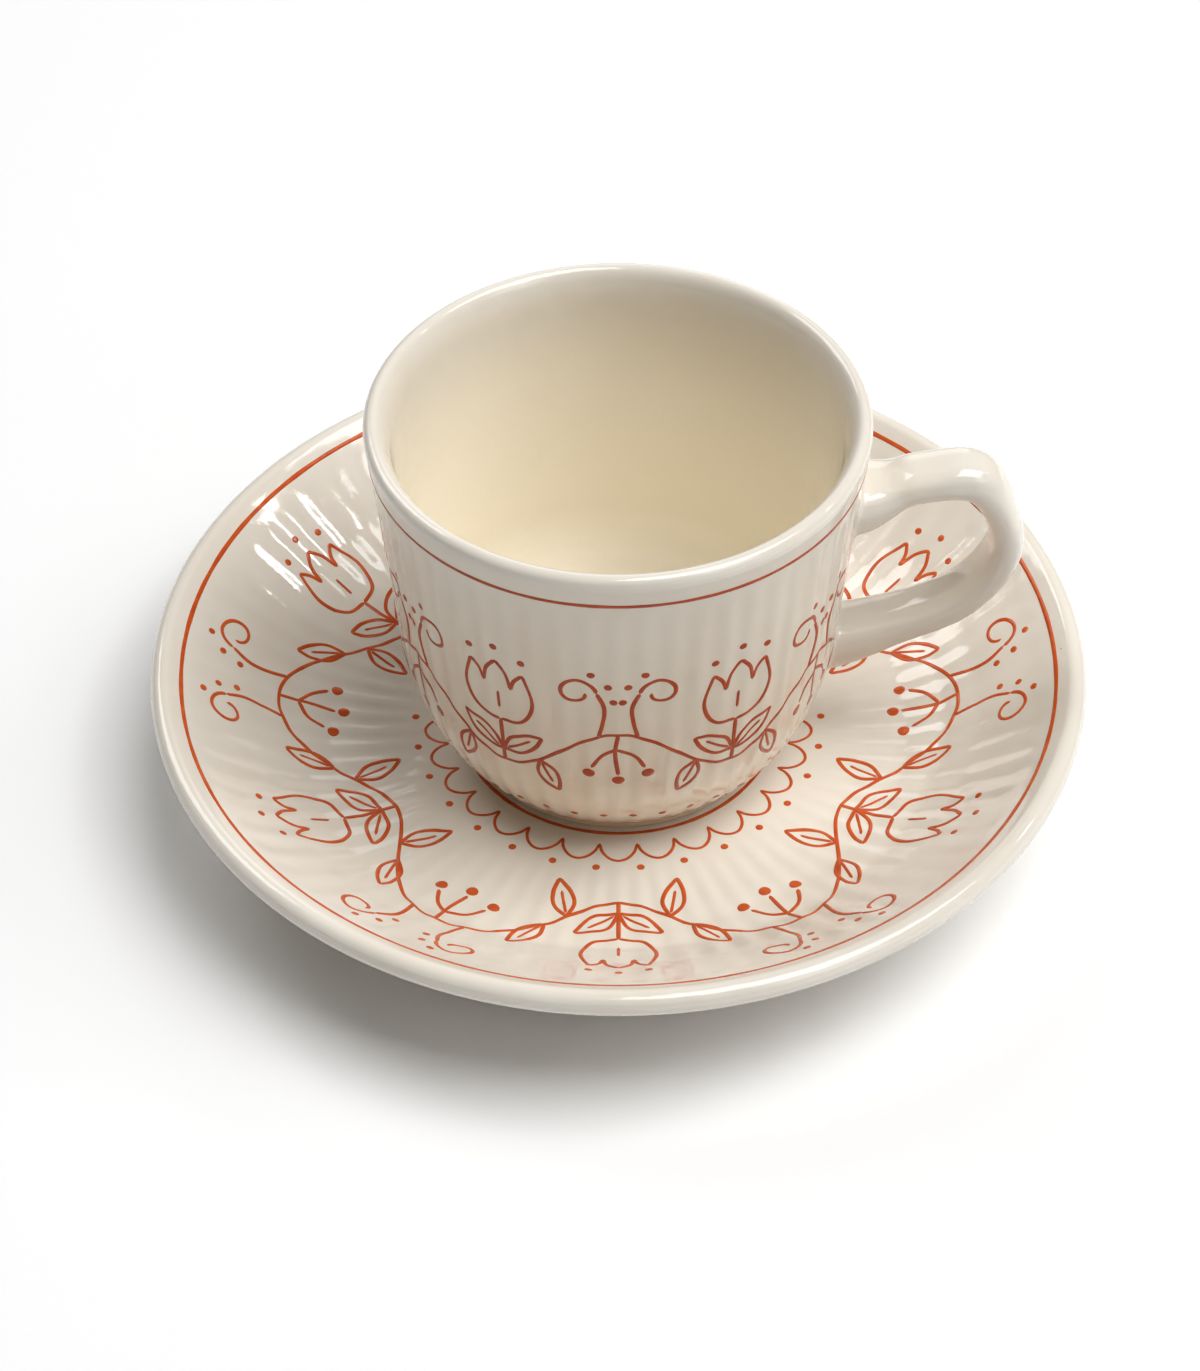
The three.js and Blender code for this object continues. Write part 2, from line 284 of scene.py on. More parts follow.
def fillet(before, corner, after, radius):
    """Points of a round fillet at one corner of a profile."""
    a = (before - corner) / np.linalg.norm(before - corner)
    b = (after - corner) / np.linalg.norm(after - corner)
    half = math.acos(np.clip(a @ b, -1.0, 1.0)) / 2
    middle = (a + b) / np.linalg.norm(a + b)
    centre = corner + middle * radius / math.sin(half)
    reach = radius / math.tan(half)
    start, end = corner + a * reach - centre, corner + b * reach - centre
    first = math.atan2(start[1], start[0])
    sweep = math.remainder(math.atan2(end[1], end[0]) - first, 2 * math.pi)
    steps = max(2, math.ceil(abs(sweep) / FILLET_STEP))
    angles = first + sweep * np.linspace(0.0, 1.0, steps + 1)
    return centre + radius * np.stack([np.cos(angles), np.sin(angles)], axis=1)


def rounded(corners):
    """A profile through corners of radius, height and fillet, in steps of about RING_STEP."""
    places = [np.array(c[:2]) for c in corners]
    points = [places[0][None]]
    for k in range(1, len(corners) - 1):
        radius = corners[k][2]
        arc = fillet(places[k - 1], places[k], places[k + 1], radius) if radius else places[k][None]
        points.append(arc)
    points = np.vstack(points + [places[-1][None]])
    spans = []
    for a, b in zip(points, points[1:]):
        steps = max(1, math.ceil(np.linalg.norm(b - a) / RING_STEP - RING_SLACK))
        spans.append(a + (b - a) * np.linspace(0.0, 1.0, steps, endpoint=False)[:, None])
    return np.vstack(spans + [points[-1:]])


def lengths(points):
    """How far each point of a line lies from its start, along the line."""
    return np.concatenate([[0.0], np.cumsum(np.linalg.norm(np.diff(points, axis=0), axis=1))])


def tube_faces(rings, sides):
    """Quads between rings of points, and fans to the two end points that follow the rings."""
    column = np.arange(sides)
    following = (column + 1) % sides
    row = np.arange(rings - 1)[:, None] * sides
    above = row + sides
    quads = np.stack([row + column, row + following, above + following, above + column], -1)
    first, last = rings * sides, rings * sides + 1
    end = (rings - 1) * sides
    start_fan = np.stack([np.full(sides, first), following, column], -1)
    end_fan = np.stack([end + column, end + following, np.full(sides, last)], -1)
    return quads.reshape(-1, 4).tolist() + start_fan.tolist() + end_fan.tolist()


class Turned:
    """A closed turned body: a profile from the axis below to the axis above, with flutes."""

    def __init__(self, profile, press, flutes, base, bounce_light=0.0, pool_and_shade=0.0):
        self.profile = profile + np.array([0.0, base])
        self.press = press
        self.flutes = flutes
        self.bounce_light = bounce_light * np.ones(len(profile))
        self.pool_and_shade = pool_and_shade * np.ones(len(profile))
        self.along = lengths(profile)

    def read(self, column, along):
        return np.interp(along, self.along, column)

    def at(self, turn, along):
        """Points of the skin at angles round the axis and lengths along the profile."""
        valley = (1 - np.cos(self.flutes * turn)) / 2
        radius = self.read(self.profile[:, 0], along) + valley * self.read(self.press[:, 0], along)
        height = self.read(self.profile[:, 1], along) + valley * self.read(self.press[:, 1], along)
        return np.stack([radius * np.cos(turn), radius * np.sin(turn), height], axis=-1)

    def ways(self, turn, along):
        """How the skin runs per radian of turn and per metre of profile."""
        ahead, behind = self.at(turn + TURN_STEP, along), self.at(turn - TURN_STEP, along)
        round_way = (ahead - behind) / (2 * TURN_STEP)
        above, below = self.at(turn, along + ALONG_STEP), self.at(turn, along - ALONG_STEP)
        up_way = (above - below) / (2 * ALONG_STEP)
        return round_way, up_way

    def mesh(self, name):
        """The closed skin, with each point's share of pooled glaze and painted shade, and of painted
        warm bounce light.
        """
        segments = self.flutes * STEPS_PER_FLUTE
        rings = len(self.profile) - 2
        turn = np.linspace(0.0, 2 * math.pi, segments, endpoint=False)
        points = self.at(turn[None, :], self.along[1:-1, None]).reshape(-1, 3)
        ends = [[0.0, 0.0, self.profile[0, 1]], [0.0, 0.0, self.profile[-1, 1]]]
        depth = np.linalg.norm(self.press[1:-1], axis=1) / np.linalg.norm(self.press, axis=1).max()
        valley = depth[:, None] * (1 - np.cos(self.flutes * turn))[None, :] / 2
        pool_and_shade = self.pool_and_shade[1:-1, None] + POOL_IN_FLUTES * valley
        bounce_light = np.repeat(self.bounce_light[1:-1], segments)
        mesh = new_mesh(name, np.vstack([points, ends]), tube_faces(rings, segments))
        mark(mesh, "pool_and_shade", np.concatenate([pool_and_shade.ravel(), [0.0, 0.0]]))
        mark(mesh, "bounce_light", np.concatenate([bounce_light, self.bounce_light[[0, -1]]]))
        return mesh


def new_mesh(name, points, faces):
    mesh = bpy.data.meshes.new(name)
    mesh.from_pydata(np.asarray(points, float).tolist(), [], faces)
    mesh.shade_smooth()
    return mesh


def mark(mesh, name, values):
    """Gives each point of a mesh a value that its material reads."""
    mesh.attributes.new(name, "FLOAT", "POINT").data.foreach_set("value", values.astype(np.float32))


def new_piece(name, mesh, materials, body, nodes=()):
    """A finished piece that rides on a body and stands for the solids of the named nodes."""
    for material in materials:
        mesh.materials.append(material)
    piece = bpy.data.objects.new(name, mesh)
    bpy.context.scene.collection.objects.link(piece)
    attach(piece, body)
    if nodes:
        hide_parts(*nodes)


def bare_foot(mesh, floor):
    """Gives the second material to the faces that a foot ring stands on."""
    for face in mesh.polygons:
        if face.center.z < floor + BARE_HEIGHT:
            face.material_index = 1


def foot_corners(radius, width, depth):
    """A foot ring from the axis to its outer edge on the table."""
    inner = radius - width
    return [
        (0.0, depth, 0.0),
        (inner - FOOT_EDGE / 2, depth, FOOT_CREASE),
        (inner + FOOT_EDGE / 2, 0.0, FOOT_EDGE),
        (radius - FOOT_EDGE / 2, 0.0, FOOT_EDGE),
    ]


def saucer_skin():
    """The saucer: foot ring, underside, round edge, fluted side, sloping floor and flat well."""
    turn_over = (SIDE_SLOPE - FLOOR_SLOPE) / 2
    mean_slope = (SIDE_SLOPE + FLOOR_SLOPE) / 2
    reach = BEND_RADIUS * math.tan(turn_over)
    well = WELL_HEIGHT - TABLE
    floor_radius = WELL_RADIUS + FLOOR_WIDTH
    floor_height = well + FLOOR_WIDTH * math.tan(FLOOR_SLOPE)
    bend_radius = floor_radius + reach * math.cos(FLOOR_SLOPE)
    bend_height = floor_height + reach * math.sin(FLOOR_SLOPE)
    offset = SAUCER_WALL / math.cos(turn_over)
    under_radius = bend_radius + offset * math.sin(mean_slope)
    under_height = bend_height - offset * math.cos(mean_slope)
    foot_top = well - SAUCER_WALL + (SAUCER_FOOT_RADIUS - WELL_RADIUS) * math.tan(FLOOR_SLOPE)
    edge = np.array([SAUCER_RADIUS - SAUCER_EDGE, SAUCER_TOP - TABLE - SAUCER_EDGE])
    outwards = SAUCER_EDGE * np.array([math.cos(SIDE_SLOPE), math.sin(SIDE_SLOPE)])
    upwards = SAUCER_EDGE * np.array([-math.sin(SIDE_SLOPE), math.cos(SIDE_SLOPE)])
    edge_fillet = SAUCER_EDGE - SKIN
    profile = rounded([
        *foot_corners(SAUCER_FOOT_RADIUS, SAUCER_FOOT_WIDTH, SAUCER_FOOT_DEPTH),
        (SAUCER_FOOT_RADIUS, foot_top, FOOT_CREASE),
        (under_radius, under_height, BEND_RADIUS + SAUCER_WALL),
        (*(edge + outwards - upwards), edge_fillet),
        (*(edge + outwards + upwards), edge_fillet),
        (bend_radius, bend_height, BEND_RADIUS),
        (WELL_RADIUS, well, WELL_SOFTNESS),
        (0.0, well, 0.0),
    ])
    way = np.gradient(profile, axis=0)
    way /= np.linalg.norm(way, axis=1)[:, None]
    inward = np.stack([-way[:, 1], way[:, 0]], axis=1)
    upper = np.arange(len(profile)) > profile[:, 1].argmax()
    radius = profile[:, 0]
    depth = smoothstep(radius, *SAUCER_FLUTE_START) * (1 - smoothstep(radius, *SAUCER_FLUTE_END))
    press = inward * (SAUCER_FLUTE_DEPTH * depth * upper)[:, None]
    return Turned(profile, press, SAUCER_FLUTES, TABLE)


def cup_wall_radius(height):
    """Outer radius of the cup's wall at heights above its foot, on the crests of the flutes."""
    straight = CUP_RADIUS - RIM_PROUD - WALL_TAPER * (BAND_FOOT - height)
    below = np.clip((BASE_CURVE_HEIGHT - height) / BASE_CURVE_DROP, 0.0, 1.0)
    return straight - BASE_CURVE_INSET * (1 - np.sqrt(1 - below * below))


def cup_skin():
    """The cup: foot ring, fluted wall, plain band, round lip and smooth bowl."""
    edge = cup_wall_radius(CUP_FOOT_HEIGHT)
    heights = np.arange(CUP_FOOT_HEIGHT + RING_STEP, BAND_FOOT - RING_STEP / 2, RING_STEP)
    wall = [(cup_wall_radius(h), h, 0.0) for h in heights]
    lip_foot = CUP_HEIGHT - LIP_RADIUS
    lip_top = CUP_RADIUS - LIP_RADIUS
    bend = np.linspace(0.0, LIP_SLOPE_END, LIP_RINGS)
    slope_radius = lip_top - LIP_SLOPE_WIDTH * np.sin(bend)
    slope_height = CUP_HEIGHT - LIP_SLOPE_DEPTH * (1 - np.cos(bend))
    slope = [(r, h, 0.0) for r, h in zip(slope_radius, slope_height)]
    bowl_side = BOWL_FLOOR + BOWL_CORNER
    bowl_radius = cup_wall_radius(bowl_side) - CUP_WALL
    crease = FOOT_EDGE / 2
    profile = rounded([
        *foot_corners(CUP_FOOT_RADIUS, CUP_FOOT_WIDTH, CUP_FOOT_DEPTH),
        (CUP_FOOT_RADIUS, CUP_FOOT_HEIGHT, crease),
        (edge, CUP_FOOT_HEIGHT, crease),
        *wall,
        (cup_wall_radius(BAND_FOOT), BAND_FOOT, LIP_RADIUS),
        (CUP_RADIUS, lip_foot - LIP_RADIUS / 2, LIP_RADIUS),
        (CUP_RADIUS, CUP_HEIGHT, LIP_RADIUS - SKIN),
        *slope,
        (bowl_radius, bowl_side, LIP_RADIUS),
        (bowl_radius, BOWL_FLOOR, BOWL_CORNER - LIP_RADIUS / 4),
        (0.0, BOWL_FLOOR, 0.0),
    ])
    outer = np.arange(len(profile)) < profile[:, 1].argmax()
    radius, height = profile.T
    start = smoothstep(radius, CUP_FOOT_RADIUS, edge - CUP_FLUTE_DEPTH / 2)
    depth = start * (1 - smoothstep(height, BAND_FOOT - CUP_FLUTE_FADE, BAND_FOOT)) * outer
    press = np.stack([-CUP_FLUTE_DEPTH * depth, np.zeros(len(profile))], axis=1)
    inside = np.arange(len(profile)) > profile[:, 1].argmax()
    # Painted warm bounce light: lighter, yellower glaze deep in the bowl and on the lower outer wall
    # that faces the saucer
    low_wall_bounce = WALL_BOUNCE_LIGHT * (1 - smoothstep(height, 0.0, BAND_FOOT))
    bounce_light = np.where(inside, smoothstep(CUP_HEIGHT - height, *BOUNCE_LIGHT_START), low_wall_bounce)
    # Darker and browner towards the bottom of the outer wall, and on the foot pooled glaze with
    # painted shade under the wall's overhang
    pool_and_shade = outer * LOW_WALL_DARKENING * (1 - smoothstep(height, BAND_FOOT / 2, BAND_FOOT))
    pool_and_shade[outer & (height < CUP_FOOT_HEIGHT + SKIN)] = 1.0
    return Turned(profile, press, CUP_FLUTES, WELL_HEIGHT, bounce_light, pool_and_shade)


def centripetal(corners, samples):
    """Points and directions of a smooth line through corners, spaced evenly in its parameter."""
    p = np.vstack([2 * corners[0] - corners[1], corners, 2 * corners[-1] - corners[-2]])
    gaps = np.sqrt(np.linalg.norm(np.diff(p, axis=0), axis=1))
    places = np.linspace(0.0, len(corners) - 1, samples)
    span = np.minimum(places.astype(int), len(corners) - 2)
    w = (places - span)[:, None]
    a, b, c, d = (p[span + k] for k in range(4))
    before, here, after = (gaps[span + k][:, None] for k in range(3))
    start = here * ((b - a) / before - (c - a) / (before + here) + (c - b) / here)
    end = here * ((c - b) / here - (d - b) / (here + after) + (d - c) / after)
    square, cube = 3 * (c - b) - 2 * start - end, 2 * (b - c) + start + end
    points = b + start * w + square * w**2 + cube * w**3
    ways = start + 2 * square * w + 3 * cube * w**2
    return points, ways / np.linalg.norm(ways, axis=1)[:, None]


class Strap:
    """The handle's strap: an oval section along a bowed centre line, flared at its two roots."""

    def __init__(self):
        upper = CUP_HEIGHT - HANDLE_UPPER_DROP
        upper_wall = cup_wall_radius(upper)
        bow = upper - HANDLE_BOW_DROP
        lower = HANDLE_LOWER_RISE
        lower_wall = cup_wall_radius(lower)
        corners = np.array([
            (upper_wall - CUP_WALL, upper),
            (upper_wall + HANDLE_UPPER_ROOT / 2, upper + HANDLE_ARCH / 2),
            (upper_wall + HANDLE_SHOULDER / 2, upper + HANDLE_ARCH),
            (upper_wall + HANDLE_SHOULDER, upper + HANDLE_ARCH),
            (upper_wall + HANDLE_REACH, bow),
            (upper_wall + HANDLE_SHOULDER, (bow + lower) / 2),
            (lower_wall + HANDLE_LOWER_ROOT / 2, lower + HANDLE_LOWER_SWEEP),
            (lower_wall - CUP_WALL, lower),
        ])
        self.centre, self.way = centripetal(corners, STRAP_SAMPLES)
        self.place = np.linspace(0.0, 1.0, len(self.centre))
        far = [np.linalg.norm(self.centre - corners[end], axis=1) - CUP_WALL for end in (0, -1)]
        upper_flare = HANDLE_UPPER_FLARE * (1 - smoothstep(far[0], 0.0, HANDLE_UPPER_ROOT))
        lower_flare = HANDLE_LOWER_FLARE * (1 - smoothstep(far[1], 0.0, HANDLE_LOWER_ROOT))
        self.flare = upper_flare + lower_flare
        self.straight = (1 - HANDLE_UPPER_LIFT) * upper_flare
        thumb = np.linalg.norm(self.centre - corners[3], axis=1)
        self.swell = HANDLE_SWELL * (1 - smoothstep(thumb, 0.0, HANDLE_SWELL_SPAN))

    def at(self, place, angle):
        """Points of the strap and of its centre line at places along it and angles round it."""
        read = lambda column: np.interp(place, self.place, column)
        cx, cz = read(self.centre[:, 0]), read(self.centre[:, 1])
        wx, wz = read(self.way[:, 0]), read(self.way[:, 1])
        flare, swell, straight = read(self.flare), read(self.swell), read(self.straight)
        oval = lambda c: np.sign(c) * np.abs(c) ** (2 / HANDLE_OVALITY)
        bulge = (swell - straight / 2) * smoothstep(np.cos(angle), 0.0, 1.0)
        out = oval(np.cos(angle)) * ((HANDLE_THICKNESS + flare) / 2 + bulge)
        across = -oval(np.sin(angle)) * (HANDLE_WIDTH + flare / 2) / 2
        centre = np.stack([cx, np.zeros_like(cx), cz], axis=-1)
        return centre + np.stack([-wz * out, across, wx * out], axis=-1), centre


def off_the_wall(points):
    """How far points lie outside the crests of the cup's wall."""
    return np.hypot(points[..., 0], points[..., 1]) - cup_wall_radius(points[..., 2])


def root_places(strap, angle, distances, from_end):
    """Where each line along the strap passes given distances from the wall, at one of its roots."""
    search = np.linspace(0.0, ROOT_SHARE, ROOT_SAMPLES)
    if from_end:
        search = 1.0 - search
    points = strap.at(search[:, None] + 0 * angle, angle + 0 * search[:, None])[0]
    gap = np.maximum.accumulate(off_the_wall(points), axis=0)
    return np.stack([np.interp(distances, gap[:, k], search) for k in range(len(angle))], axis=1)


def handle_skin(name):
    """The handle, with its roots melting into the wall through small fillets of glaze."""
    strap = Strap()
    angle = 2 * math.pi * np.arange(HANDLE_SIDES) / HANDLE_SIDES
    bend = np.linspace(0.0, math.pi / 2, FILLET_RINGS)
    distances = np.concatenate([[-ROOT_SINK], ROOT_FILLET * (1 - np.cos(bend))])
    spread = np.concatenate([[ROOT_FILLET], ROOT_FILLET * (1 - np.sin(bend))])
    upper = root_places(strap, angle, distances, False)
    lower = root_places(strap, angle, distances, True)[::-1]
    share = np.linspace(0.0, 1.0, HANDLE_RINGS + 2)[1:-1, None]
    middle = upper[-1] + (lower[0] - upper[-1]) * share
    place = np.vstack([upper, middle, lower])
    points, centre = strap.at(place, angle + 0 * place)
    widen = np.concatenate([spread, np.zeros(HANDLE_RINGS), spread[::-1]])
    normal = points * np.array([1.0, 1.0, 0.0])
    normal /= np.linalg.norm(normal, axis=-1, keepdims=True)
    away = points - centre
    away -= normal * (away * normal).sum(-1, keepdims=True)
    away /= np.linalg.norm(away, axis=-1, keepdims=True)
    points = points + away * widen[:, None, None]
    ends = np.stack([points[0].mean(0), points[-1].mean(0)])
    solid = np.vstack([points.reshape(-1, 3), ends]) + np.array([0.0, 0.0, WELL_HEIGHT])
    mesh = new_mesh(name, solid, tube_faces(len(place), HANDLE_SIDES))
    near_root = POOL_AT_ROOTS * widen / ROOT_FILLET
    mark(mesh, "pool_and_shade", np.concatenate([np.repeat(near_root, HANDLE_SIDES), [POOL_AT_ROOTS] * 2]))
    return mesh


def smooth(corners):
    """A smooth flat line through a few corners."""
    p = np.array(corners, float)
    p = np.vstack([2 * p[0] - p[1], p, 2 * p[-1] - p[-2]])
    t = np.linspace(0.0, 1.0, CURVE_STEPS, endpoint=False)[:, None]
    spans = []
    for a, b, c, d in zip(p, p[1:], p[2:], p[3:]):
        square, cube = 2 * a - 5 * b + 4 * c - d, 3 * b - a - 3 * c + d
        spans.append(b + ((c - a) * t + square * t**2 + cube * t**3) / 2)
    return np.vstack(spans + [p[-2:-1]])


class Drawing:
    """Lines and dots drawn flat, in millimetres, growing up from the origin."""

    def __init__(self):
        self.lines, self.dots = [], []

    def line(self, *corners, width=LINE):
        self.lines.append((smooth(corners), width))

    def curl(self, centre, radius, start, turns, inner):
        """A tendril that winds in from a start angle, in turns, to a share of its radius."""
        t = np.linspace(0.0, 1.0, CURL_STEPS)
        angle = start + 2 * math.pi * turns * t
        reach = radius * (1 - (1 - inner) * t)
        rays = np.stack([np.cos(angle), np.sin(angle)], 1) * reach[:, None]
        self.lines.append((np.array(centre) + rays, LINE))

    def dot(self, x, y, radius=DOT):
        self.dots.append(((x, y), radius))

    def add(self, other, x=0.0, y=0.0, turn=0.0, flip=1, size=1.0):
        """Adds another drawing, mirrored if flip is -1, then enlarged, turned and moved."""
        c, s = size * math.cos(turn), size * math.sin(turn)
        put = lambda p: (np.atleast_2d(p) * (flip, 1)) @ np.array([(c, s), (-s, c)]) + (x, y)
        self.lines += [(put(points), width) for points, width in other.lines]
        self.dots += [(tuple(put(place)[0]), radius) for place, radius in other.dots]


def leaf():
    """A lance leaf with its midrib, placed by shares of its width and length."""
    drawing = Drawing()
    at = lambda across, up: (across * LEAF_WIDTH, LEAF_LENGTH * up)
    for side in (-1, 1):
        drawing.line(at(0, 0), at(side * 0.46, 0.34), at(side * 0.38, 0.68), at(0, 1))
    drawing.line(at(0, 0.1), at(0, 0.7), width=THIN_LINE)
    return drawing


def tulip():
    """A tulip on its stalk, with a pair of leaves and a spray of dots."""
    drawing = Drawing()
    drawing.line((0, 0), (0, 9.6))
    for side in (-1, 1):
        drawing.line((0, 9.6), (side * 4.0, 10.8), (side * 5.9, 15.6), (side * 4.6, 21.6))
        drawing.line((side * 4.6, 21.6), (side * 3.1, 19.8), (side * 2.4, 17.6))
        drawing.line((side * 2.4, 17.6), (side * 1.7, 20.8), (0, 23.2))
        drawing.add(leaf(), y=2.6, turn=-side * TULIP_LEAF_TURN)
        drawing.dot(side * 4.6, 24.4)
    drawing.line((0, 12.4), (0, 16.2), width=THIN_LINE)
    drawing.dot(0, 26.2)
    return drawing


def berries():
    """A drooping sprig of three berries."""
    drawing = Drawing()
    drawing.line((0, 0), (0.5, 4.6), (0, 10.2))
    for side in (-1, 1):
        drawing.line((0.3, 3.6), (side * 2.8, 5.6), (side * 4.4, 8.4))
        drawing.dot(side * 4.9, 9.9, BERRY)
    drawing.dot(0, 11.6, BERRY)
    return drawing


def tendril():
    """A stalk that winds over into an open curl, with dots along its back."""
    drawing = Drawing()
    drawing.line((0, 0), (-0.9, 4.2), (-1.2, 8.6), (0.2, 12.8))
    drawing.curl((4.2, 12.6), 4.0, math.radians(177), -1.0, inner=0.45)
    for x, y in ((-3.0, 10.4), (-2.0, 14.6), (1.2, 18.0)):
        drawing.dot(x, y)
    return drawing


class Paint:
    """Thin closed lines and dots of paint on a turned skin, where drawings grow the way of up."""

    SECTION = (
        (-1.0, -PAINT_SINK),
        (-PAINT_FLAT, PAINT_RISE),
        (0.0, PAINT_RISE),
        (PAINT_FLAT, PAINT_RISE),
        (1.0, -PAINT_SINK),
        (PAINT_KEEL, -2 * PAINT_SINK),
        (-PAINT_KEEL, -2 * PAINT_SINK),
    )

    def __init__(self, skin, up):
        self.skin, self.up = skin, up
        self.points, self.faces, self.count = [], [], 0

    def keep(self, points, faces):
        self.points.append(points)
        self.faces += [[self.count + k for k in face] for face in faces]
        self.count += len(points)

    def lifted(self, turn, along, lift):
        """Points at a small height over the skin."""
        round_way, up_way = self.skin.ways(turn, along)
        normal = np.cross(round_way, up_way)
        normal /= np.linalg.norm(normal, axis=-1, keepdims=True)
        return self.skin.at(turn, along) + normal * np.asarray(lift)[..., None]

    def line(self, turn, along, width, closed=False):
        """A line of paint of a width in metres through places on the skin."""
        length = lengths(self.skin.at(turn, along))
        steps = max(4, math.ceil(length[-1] / PAINT_STEP))
        even = np.linspace(0.0, length[-1], steps + 1)
        turn, along = np.interp(even, length, turn), np.interp(even, length, along)
        if closed:
            turn, along, even = turn[:-1], along[:-1], even[:-1]
        round_way, up_way = self.skin.ways(turn, along)
        gap = (lambda c: np.roll(c, -1) - np.roll(c, 1)) if closed else np.gradient
        turn_step = gap(turn)
        if closed:
            turn_step = np.mod(turn_step, 2 * math.pi)
        run = round_way * turn_step[:, None] + up_way * gap(along)[:, None]
        normal = np.cross(round_way, up_way)
        side = np.cross(normal, run)
        side /= np.linalg.norm(side, axis=1)[:, None]
        dot = lambda a, b: (a * b).sum(1)
        rr, ru, uu = dot(round_way, round_way), dot(round_way, up_way), dot(up_way, up_way)
        sr, su = dot(side, round_way), dot(side, up_way)
        span = rr * uu - ru * ru
        across_turn, across_along = (sr * uu - su * ru) / span, (su * rr - sr * ru) / span
        swing = 1.0
        for share, stretch, phase in SWINGS:
            swing = swing + share * np.sin(even / stretch + phase)
        half = width / 2 * swing
        if not closed:
            nearest = np.minimum(even, length[-1] - even)
            half *= np.sqrt(np.clip(1 - (1 - nearest / (width / 2)).clip(0, 1) ** 2, BLUNT_END, 1.0))
        n = len(turn)
        rows = []
        for s, lift in self.SECTION:
            reach = s * half
            place = turn + reach * across_turn, along + reach * across_along
            rows.append(self.lifted(*place, np.full(n, lift)))
        sides = len(rows)
        faces = []
        for i in range(n if closed else n - 1):
            a, b = i * sides, (i + 1) % n * sides
            for k in range(sides):
                j = (k + 1) % sides
                faces.append([a + k, a + j, b + j, b + k])
        if not closed:
            faces += [list(range(sides))[::-1], [(n - 1) * sides + k for k in range(sides)]]
        self.keep(np.stack(rows, axis=1).reshape(-1, 3), faces)

    def dot(self, turn, along, radius):
        """A round dot of paint."""
        angle = 2 * math.pi * np.arange(DOT_SIDES) / DOT_SIDES
        around = self.skin.read(self.skin.profile[:, 0], along)
        ring = lambda share, lift: self.lifted(
            turn + share * radius * np.cos(angle) / around,
            along + self.up * share * radius * np.sin(angle),
            np.full(DOT_SIDES, lift),
        )
        spot = lambda lift: self.lifted(np.array([turn]), np.array([along]), np.array([lift]))
        points = [ring(1.0, -PAINT_SINK), ring(DOT_FLAT, PAINT_RISE), ring(DOT_INNER, PAINT_RISE)]
        points += [spot(PAINT_RISE), spot(-2 * PAINT_SINK)]
        n = DOT_SIDES
        faces = []
        for k in range(n):
            j = (k + 1) % n
            faces += [[k, j, n + j, n + k], [n + k, n + j, 2 * n + j, 2 * n + k]]
            faces += [[2 * n + k, 2 * n + j, 3 * n], [j, k, 3 * n + 1]]
        self.keep(np.vstack(points), faces)

    def put(self, drawing, turn, along, heading=0.0, flip=1, size=1.0):
        """A flat drawing wrapped on the skin round one spot."""
        turned = Drawing()
        turned.add(drawing, turn=heading, flip=flip, size=size)
        for points, width in turned.lines:
            self.line(*self.wrapped(points, turn, along), width * MM)
        for place, radius in turned.dots:
            spot = self.wrapped(np.array([place]), turn, along)
            self.dot(spot[0][0], spot[1][0], radius * MM)

    def wrapped(self, points, turn, along):
        """Places on the skin of flat points drawn round one spot."""
        up = along + self.up * points[:, 1] * MM
        return turn + points[:, 0] * MM / self.skin.read(self.skin.profile[:, 0], up), up

    def ring(self, along, width):
        """A plain line right round the skin."""
        turn = np.linspace(0.0, 2 * math.pi, RING_SAMPLES)
        self.line(turn, np.full(len(turn), along), width * MM, closed=True)

    def mesh(self, name):
        return new_mesh(name, np.vstack(self.points), self.faces)


def upper_along(skin, radius):
    """Length along the saucer's profile to a radius on its upper face."""
    start = skin.profile[:, 1].argmax()
    return np.interp(-radius, -skin.profile[start:, 0], skin.along[start:])


def wall_along(skin, height):
    """Length along the cup's profile to a height above its foot on its outer wall."""
    end = skin.profile[:, 1].argmax()
    return np.interp(height + WELL_HEIGHT, skin.profile[:end, 1], skin.along[:end])


def scallops(paint, base):
    """A chain of arches round a skin, with a dot over each joint."""
    pitch = 2 * math.pi / SCALLOPS
    share = np.linspace(0.0, 1.0, SCALLOP_STEPS)
    arch = np.sin(math.pi * share) ** SCALLOP_FULLNESS
    for k in range(SCALLOPS):
        along = base + paint.up * SCALLOP_RISE * MM * arch
        paint.line((k + share) * pitch, along, THIN_LINE * MM)
        paint.dot(k * pitch, base + paint.up * SCALLOP_DOT_RISE * MM, DOT * MM)


def vine(paint, wave, crest, trough, sizes, tulips=True):
    """One repeat of the vine: berries and tendrils at its crest, a tulip at its trough, leaves."""
    pitch = 2 * (trough - crest)
    berry_size, tendril_size, leaf_size = sizes
    paint.put(berries(), crest, wave(crest), math.pi, size=berry_size)
    if tulips:
        paint.put(tulip(), trough, wave(trough))
    for side in (-1, 1):
        spot = crest + side * TENDRIL_PLACE * pitch
        paint.put(tendril(), spot, wave(spot), 0.0, side, tendril_size)
        spot = crest + side * LOWER_LEAF_PLACE * pitch
        paint.put(leaf(), spot, wave(spot), math.pi - side * LOWER_LEAF_TURN, size=leaf_size)


